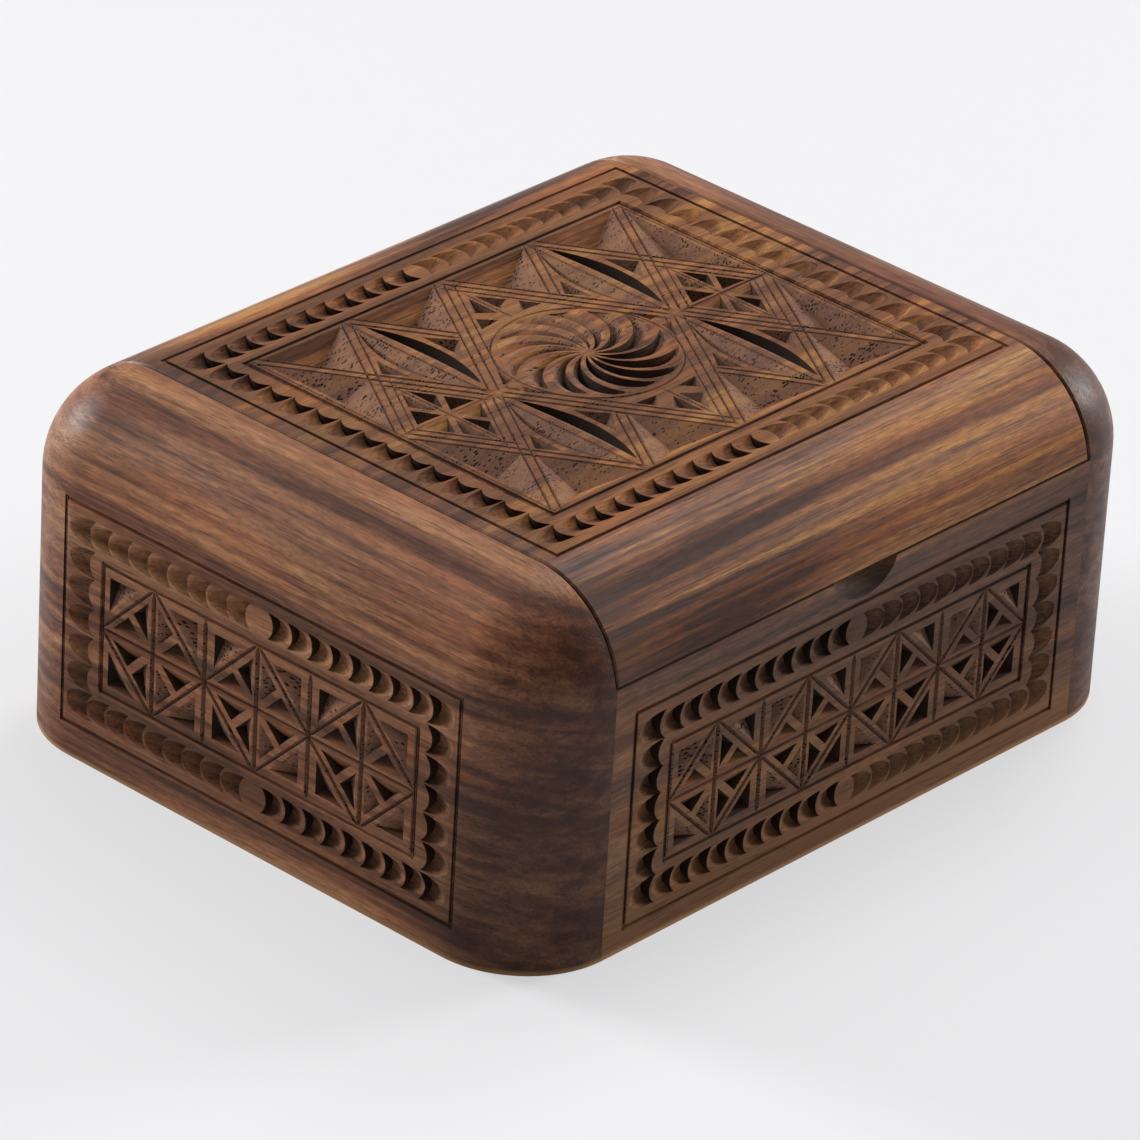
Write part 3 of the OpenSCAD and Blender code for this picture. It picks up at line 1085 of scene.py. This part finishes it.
# %% [markdown]
# ## Plain parts that stay
#
# The bottom panel is a planed board and the hinge pins are cut from rod, so they
# keep their plain shapes and only take a material.

# %% Materials for the plain parts
for node, material in (("bottom_panel", floor_wood), ("hinge_pin_left", brass),
                       ("hinge_pin_right", brass)):
    nodes[node].data.materials.clear()
    nodes[node].data.materials.append(material)
    print(node, "is", material.name)

# %% [markdown]
# ## Floor and light
#
# White paper that curves up behind the box gives a pale ground. It is greyer
# further back, so that the ground there isn't too bright. For the camera alone
# it also glows, which keeps the shadow pale. One wide lamp above lights the lid
# and a smaller one high on the right draws its cuts. Two more graze the upright
# faces from their far ends, so that each cut shows a lit slope and a dark wall.

# %% Floor
def make_floor():
    """White sweep: flat paper that curves up into a wall."""
    half_width = 2.2
    profile = [(-1.6, 0.0)] + [(0.9 + 0.5 * math.sin(a), 0.5 - 0.5 * math.cos(a))
                               for a in np.linspace(0, math.pi / 2, 12)] + [(1.4, 2.4)]
    heading = Vector((ahead.x, ahead.y, 0)).normalized()
    across = Vector((heading.y, -heading.x, 0))
    points, faces = [], []
    for d, z in profile:
        for side in (-half_width, half_width):
            points.append(heading * d + across * side + Vector((0, 0, z)))
    for i in range(len(profile) - 1):
        k = 2 * i
        faces.append([k, k + 1, k + 3, k + 2])
    mesh = bpy.data.meshes.new("floor")
    mesh.from_pydata(points, [], faces)
    for polygon in mesh.polygons:
        polygon.use_smooth = True
    mesh.flip_normals()
    obj = linked("floor", mesh)
    material, t = fresh_material("white_paper_sweep")
    place = add(t, "ShaderNodeTexCoord").outputs["Object"]
    far = between(t, dot(t, place, tuple(heading)), -0.2, 0.7, 0.0, 1.0)
    paper = add(t, "ShaderNodeBsdfDiffuse", {
        "Color": blend(t, far, ink("#eaeaeb"), ink("#afafb3"))})
    glow = add(t, "ShaderNodeEmission", {"Color": ink("#f0f0f2"), "Strength": 1.0})
    seen = add(t, "ShaderNodeLightPath").outputs["Is Camera Ray"]
    mixed = add(t, "ShaderNodeMixShader", {
        0: maths(t, "MULTIPLY", seen, 0.6), 1: paper.outputs[0], 2: glow.outputs[0]})
    add(t, "ShaderNodeOutputMaterial", {"Surface": mixed.outputs[0]})
    mesh.materials.append(material)
    return obj


print("floor faces:", len(make_floor().data.polygons))

# %% Lamps
def wide_lamp(name, place, size, watts):
    """Square area lamp that faces the box."""
    data = bpy.data.lights.new(name, "AREA")
    data.shape, data.size, data.energy = "SQUARE", size, watts
    obj = linked(name, data)
    obj.location = place
    aim = Vector((0, 0, 0.03)) - obj.location
    obj.rotation_euler = aim.to_track_quat("-Z", "Y").to_euler()
    obj.visible_camera = False


for name, place, size, watts in (
        ("lamp_above", (0.1, 0.25, 1.35), 1.6, 11.0),
        ("lamp_key", (0.8, 0.25, 1.0), 0.45, 5.0),
        ("lamp_left_back", (-0.27, 0.93, 0.36), 0.28, 9.5),
        ("lamp_right_front", (0.93, -0.29, 0.35), 0.28, 7.5)):
    wide_lamp(name, place, size, watts)
    print(name, watts, "W")

# %% Room light
world = bpy.data.worlds.new("room")
scene.world = world
world.use_nodes = True
room = world.node_tree.nodes["Background"]
room.inputs["Color"].default_value = ink("#f4f4f4")
room.inputs["Strength"].default_value = 0.17
scene.view_settings.view_transform = "Standard"
